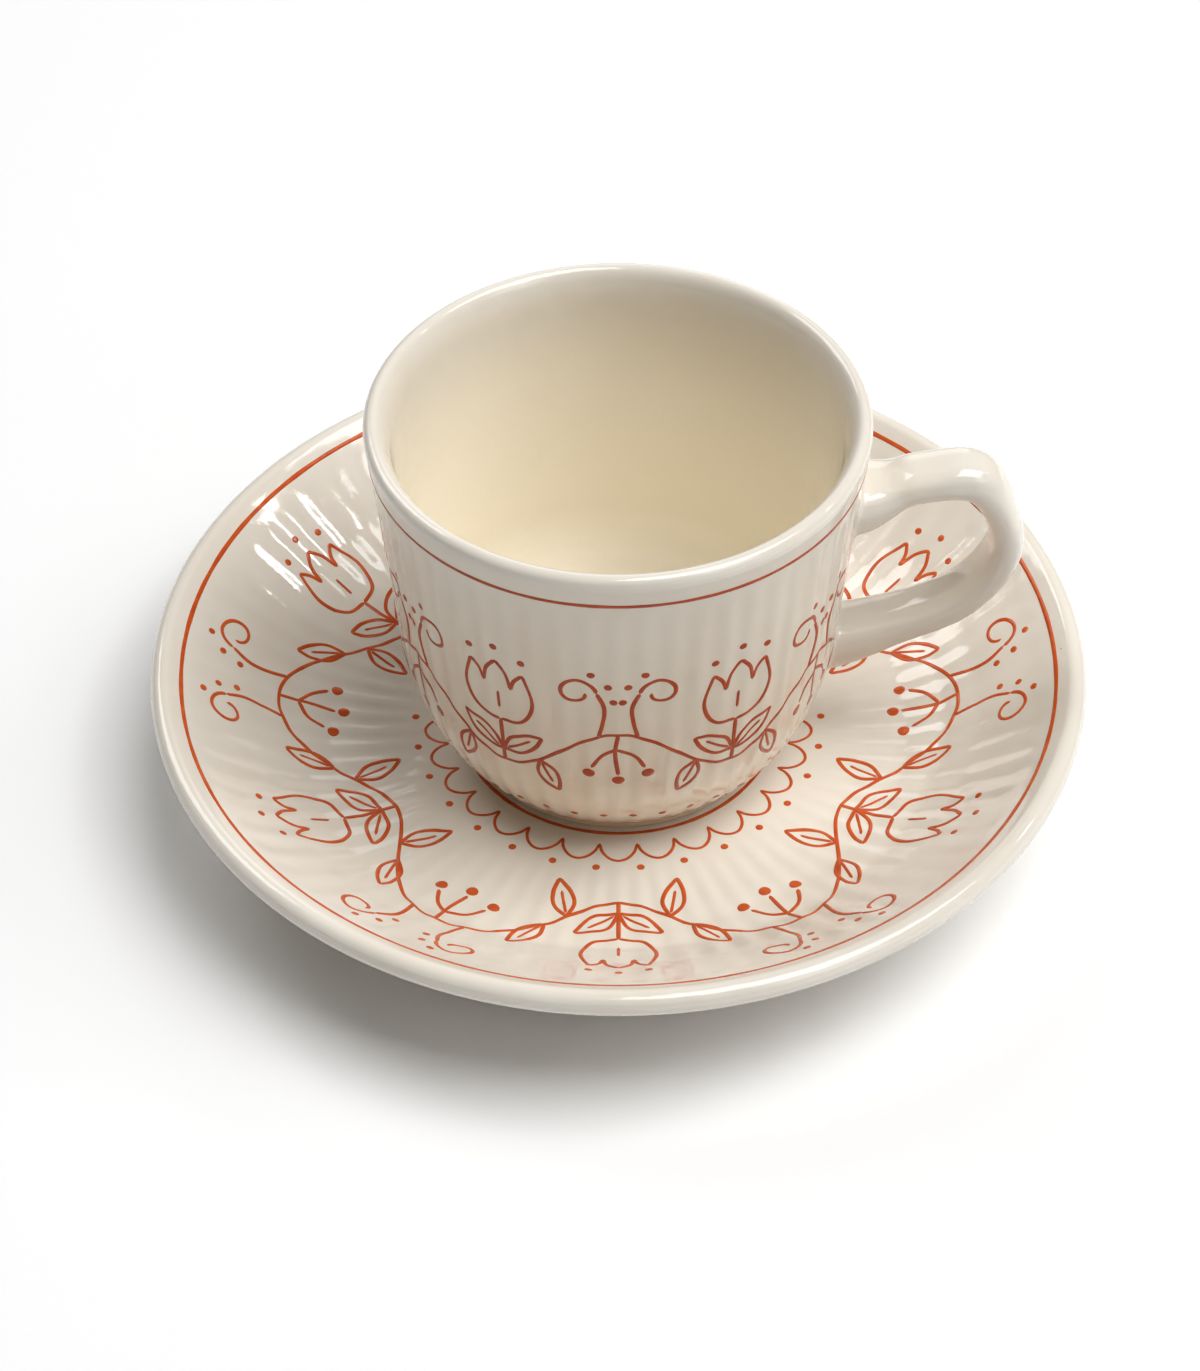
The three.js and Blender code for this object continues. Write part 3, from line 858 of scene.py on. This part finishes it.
def saucer_design(dish):
    """Plain rings at rim and well, scallops round the cup's foot, and a vine between them."""
    paint = Paint(dish, -1)
    well = upper_along(dish, WELL_RADIUS)
    paint.ring(upper_along(dish, SAUCER_RADIUS - RIM_LINE_INSET), RIM_LINE)
    paint.ring(upper_along(dish, CUP_FOOT_RADIUS + FOOT_RING_GAP), LINE)
    scallops(paint, well - SCALLOP_BASE * MM)
    middle, swing = SAUCER_VINE
    wave = lambda turn: well - (middle + swing * np.cos(SAUCER_REPEATS * turn)) * MM
    turn = np.linspace(0.0, 2 * math.pi, SAUCER_VINE_SAMPLES)
    paint.line(turn, wave(turn), LINE * MM, closed=True)
    pitch = 2 * math.pi / SAUCER_REPEATS
    for k in range(SAUCER_REPEATS):
        vine(paint, wave, k * pitch, (k + 0.5) * pitch, SAUCER_SIZES)
        for side in (-1, 1):
            spot = (k + side * UPPER_LEAF_PLACE) * pitch
            paint.put(leaf(), spot, wave(spot), side * UPPER_LEAF_TURN)
    return paint.mesh("saucer_print")


def cup_design(shell):
    """Plain rings under the band and at the foot, a row of dots, and a vine up to the handle."""
    paint = Paint(shell, 1)
    paint.ring(wall_along(shell, BAND_FOOT + BAND_RING_RISE), LINE)
    paint.ring(wall_along(shell, CUP_FOOT_HEIGHT + EDGE_RING_RISE), EDGE_LINE)
    for k in range(CUP_DOTS):
        paint.dot(2 * math.pi * k / CUP_DOTS, wall_along(shell, CUP_DOT_HEIGHT), DOT * MM)
    middle, swing = CUP_VINE
    height = lambda turn: (middle + swing * np.cos(CUP_REPEATS * (turn - CUP_FRONT))) * MM
    wave = lambda turn: wall_along(shell, height(turn))
    turn = np.linspace(HANDLE_CLEAR, 2 * math.pi - HANDLE_CLEAR, CUP_VINE_SAMPLES)
    paint.line(turn, wave(turn), LINE * MM)
    pitch = 2 * math.pi / CUP_REPEATS
    for k in range(CUP_REPEATS):
        trough = CUP_FRONT + (k + 0.5) * pitch
        at_handle = abs(math.remainder(trough, 2 * math.pi)) < HANDLE_CLEAR
        vine(paint, wave, CUP_FRONT + k * pitch, trough, CUP_SIZES, not at_handle)
    return paint.mesh("cup_print")


def shader(name):
    """A new material with its principled shader and the place of a point in its object's frame."""
    material = bpy.data.materials.new(name)
    material.use_nodes = True
    nodes, links = material.node_tree.nodes, material.node_tree.links
    surface = nodes["Principled BSDF"]
    place = nodes.new("ShaderNodeTexCoord").outputs["Object"]
    return material, nodes, links, surface, place


def noise(nodes, links, place, scale, detail=3.0):
    texture = nodes.new("ShaderNodeTexNoise")
    texture.inputs["Scale"].default_value = scale
    texture.inputs["Detail"].default_value = detail
    links.new(place, texture.inputs["Vector"])
    return texture.outputs["Fac"]


def ramp(nodes, links, value, stops):
    """Colours spread over a value, from (place, colour) stops."""
    node = nodes.new("ShaderNodeValToRGB")
    links.new(value, node.inputs["Fac"])
    first, last = node.color_ramp.elements[0], node.color_ramp.elements[-1]
    (first.position, first.color), (last.position, last.color) = stops[0], stops[-1]
    for position, colour in stops[1:-1]:
        node.color_ramp.elements.new(position).color = colour
    return node.outputs["Color"]


def spread(nodes, links, value, low, high):
    """A value from 0 to 1 carried to another range."""
    node = nodes.new("ShaderNodeMapRange")
    node.inputs["To Min"].default_value = low
    node.inputs["To Max"].default_value = high
    links.new(value, node.inputs["Value"])
    return node.outputs["Result"]


def marked(nodes, name):
    """A value that the mesh gives each of its points."""
    node = nodes.new("ShaderNodeAttribute")
    node.attribute_name = name
    return node.outputs["Fac"]


def mixed(nodes, links, factor, first, second):
    """A node's colour mixed with a plain colour by a factor."""
    node = nodes.new("ShaderNodeMix")
    node.data_type = "RGBA"
    links.new(factor, node.inputs["Factor"])
    links.new(first, node.inputs["A"])
    node.inputs["B"].default_value = second
    return node.outputs["Result"]


def bumps(nodes, links, surface, layers):
    """Fine unevenness, as (height, depth in metres) layers one over another."""
    below = None
    for height, depth in layers:
        node = nodes.new("ShaderNodeBump")
        node.inputs["Distance"].default_value = depth
        links.new(height, node.inputs["Height"])
        if below is not None:
            links.new(below, node.inputs["Normal"])
        below = node.outputs["Normal"]
    links.new(below, surface.inputs["Normal"])


def grey(value):
    return (value, value, value, 1.0)


def pinholes(nodes, links, place):
    """How strongly a point lies in a pinhole: the middles of a few cells of a cell pattern."""
    cells = nodes.new("ShaderNodeTexVoronoi")
    cells.inputs["Scale"].default_value = PINHOLE_SCALE
    links.new(place, cells.inputs["Vector"])
    core_tones = grey(1.0), grey(0.0)
    core = ramp(nodes, links, cells.outputs["Distance"], list(zip(PINHOLE_EDGE, core_tones)))
    choice_tones = grey(0.0), grey(PINHOLE_STRENGTH)
    chosen = ramp(nodes, links, cells.outputs["Color"], list(zip(PINHOLE_CHOICE, choice_tones)))
    pinhole = nodes.new("ShaderNodeMath")
    pinhole.operation = "MULTIPLY"
    links.new(core, pinhole.inputs[0])
    links.new(chosen, pinhole.inputs[1])
    return pinhole.outputs[0]


def glaze():
    """Warm cream glaze, brown where it pools and with painted shade on the cup's foot, painted
    bounce light in the bowl, pinholes and a ripple.
    """
    material, nodes, links, surface, place = shader("cream_glaze")
    cloud = noise(nodes, links, place, CLOUD_SCALE, 4.0)
    cream = ramp(nodes, links, cloud, list(zip((0.30, 0.52, 0.74), CREAM_TONES)))
    # Painted warm bounce light, lighter and yellower, in the bowl and on the lower wall
    bounce_lit = mixed(nodes, links, marked(nodes, "bounce_light"), cream, BOUNCE_LIGHT_TONE)
    # Brown of pooled glaze, also painted shade on the cup's foot and darkening towards the bottom of
    # its wall
    pool_and_shade_share = spread(nodes, links, marked(nodes, "pool_and_shade"), 0.0, POOL_AND_SHADE_STRENGTH)
    tone = mixed(nodes, links, pool_and_shade_share, bounce_lit, POOL_AND_SHADE_TONE)
    pitted = mixed(nodes, links, pinholes(nodes, links, place), tone, PINHOLE_TONE)
    links.new(pitted, surface.inputs["Base Color"])
    gloss = noise(nodes, links, place, GLOSS_SCALE)
    links.new(spread(nodes, links, gloss, *GLAZE_ROUGHNESS), surface.inputs["Roughness"])
    ripple = noise(nodes, links, place, RIPPLE_SCALE, 1.0)
    grain = noise(nodes, links, place, GRAIN_SCALE, 2.0)
    bumps(nodes, links, surface, [(ripple, RIPPLE_DEPTH), (grain, GRAIN_DEPTH)])
    surface.inputs["IOR"].default_value = GLAZE_IOR
    surface.inputs["Coat Weight"].default_value = COAT_WEIGHT
    surface.inputs["Coat Roughness"].default_value = COAT_ROUGHNESS
    return material


def ink(name, tones):
    """Paint under the glaze, thinner and paler in places."""
    material, nodes, links, surface, place = shader(name)
    cloud = noise(nodes, links, place, INK_SCALE, 4.0)
    body = ramp(nodes, links, cloud, list(zip((0.30, 0.55, 0.78), tones)))
    links.new(body, surface.inputs["Base Color"])
    gloss = noise(nodes, links, place, GLOSS_SCALE)
    links.new(spread(nodes, links, gloss, *INK_ROUGHNESS), surface.inputs["Roughness"])
    bumps(nodes, links, surface, [(noise(nodes, links, place, GRAIN_SCALE, 2.0), GRAIN_DEPTH)])
    surface.inputs["Specular IOR Level"].default_value = INK_SPECULAR
    return material


def biscuit():
    """Bare fired clay under the foot rings, dry and grainy, rubbed grey in places."""
    material, nodes, links, surface, place = shader("bare_clay")
    cloud = noise(nodes, links, place, CLAY_SCALE, 6.0)
    body = ramp(nodes, links, cloud, list(zip((0.30, 0.60, 0.80), CLAY_TONES)))
    links.new(body, surface.inputs["Base Color"])
    wear = noise(nodes, links, place, CLAY_WEAR_SCALE)
    links.new(spread(nodes, links, wear, *CLAY_ROUGHNESS), surface.inputs["Roughness"])
    grain = noise(nodes, links, place, CLAY_GRAIN_SCALE, 4.0)
    bumps(nodes, links, surface, [(grain, CLAY_GRAIN_DEPTH)])
    return material


def make_object():
    """All the pieces of the cup and its saucer."""
    cream, clay = glaze(), biscuit()
    orange, brown = ink("orange_ink", ORANGE_TONES), ink("brown_ink", BROWN_TONES)
    dish, shell = saucer_skin(), cup_skin()
    saucer = dish.mesh("saucer_dish")
    bare_foot(saucer, TABLE)
    new_piece("saucer_dish", saucer, [cream, clay], "saucer", ["saucer"])
    new_piece("saucer_print", saucer_design(dish), [orange], "saucer")
    cup = shell.mesh("cup_shell")
    bare_foot(cup, WELL_HEIGHT)
    new_piece("cup_shell", cup, [cream, clay], "cup", ["cup_body"])
    new_piece("cup_print", cup_design(shell), [brown], "cup")
    new_piece("cup_ear", handle_skin("cup_ear"), [cream], "cup", ["cup_handle"])


def make_floor():
    """A plain round white table top."""
    turn = np.linspace(0.0, 2 * math.pi, FLOOR_SIDES, endpoint=False)
    edge = FLOOR_RADIUS * np.stack([np.cos(turn), np.sin(turn), 0 * turn], axis=1)
    mesh = new_mesh("floor", edge, [list(range(FLOOR_SIDES))])
    material, nodes, links, surface, place = shader("white_table")
    cloud = noise(nodes, links, place, TABLE_SCALE)
    tone = ramp(nodes, links, cloud, list(zip((0.0, 1.0), TABLE_TONES)))
    links.new(tone, surface.inputs["Base Color"])
    surface.inputs["Roughness"].default_value = TABLE_ROUGHNESS
    surface.inputs["Specular IOR Level"].default_value = TABLE_SPECULAR
    mesh.materials.append(material)
    floor = bpy.data.objects.new("floor", mesh)
    bpy.context.scene.collection.objects.link(floor)


def softbox(name, direction, size, power, mirrored):
    """A square soft light that looks at the object, seen or not seen in its gloss."""
    light = bpy.data.lights.new(name, "AREA")
    light.shape = "SQUARE"
    light.size = size
    light.energy = power
    lamp = bpy.data.objects.new(name, light)
    lamp.visible_glossy = mirrored
    lamp.location = LIGHT_TARGET + Vector(direction).normalized() * LIGHT_DISTANCE
    lamp.rotation_euler = (LIGHT_TARGET - lamp.location).to_track_quat("-Z", "Y").to_euler()
    bpy.context.scene.collection.objects.link(lamp)


def make_light():
    """The pale room, and a soft key overhead with weaker lights all round."""
    scene = bpy.context.scene
    scene.view_settings.view_transform = "Standard"
    world = bpy.data.worlds.new("studio")
    world.use_nodes = True
    nodes, links = world.node_tree.nodes, world.node_tree.links
    sky = nodes["Background"]
    sky.inputs["Color"].default_value = (1.0, 1.0, 1.0, 1.0)
    seen = nodes.new("ShaderNodeLightPath").outputs["Is Camera Ray"]
    links.new(spread(nodes, links, seen, SKY_LIGHT, SKY_SEEN), sky.inputs["Strength"])
    scene.world = world
    for light in LIGHTS:
        softbox(*light)


def make_camera():
    """The photograph's camera."""
    flat = math.cos(CAMERA_PITCH)
    yaw_sin, yaw_cos = math.sin(CAMERA_YAW), math.cos(CAMERA_YAW)
    forward = Vector((yaw_sin * flat, yaw_cos * flat, -math.sin(CAMERA_PITCH)))
    right = Vector((yaw_cos, -yaw_sin, 0.0))
    up = right.cross(forward)
    c, s = math.cos(CAMERA_ROLL), math.sin(CAMERA_ROLL)
    rolled_right, rolled_up = c * right + s * up, c * up - s * right
    lens = bpy.data.cameras.new("camera")
    lens.sensor_width = SENSOR
    lens.lens = FOCAL_PIXELS * SENSOR / IMAGE_HEIGHT
    lens.clip_start, lens.clip_end = CAMERA_CLIP
    camera = bpy.data.objects.new("camera", lens)
    axes = Matrix((rolled_right, rolled_up, -forward)).transposed().to_4x4()
    camera.matrix_world = Matrix.Translation(CAMERA_PLACE) @ axes
    bpy.context.scene.collection.objects.link(camera)
    bpy.context.scene.camera = camera


make_camera()
make_object()
make_floor()
make_light()

bpy.context.view_layer.update()
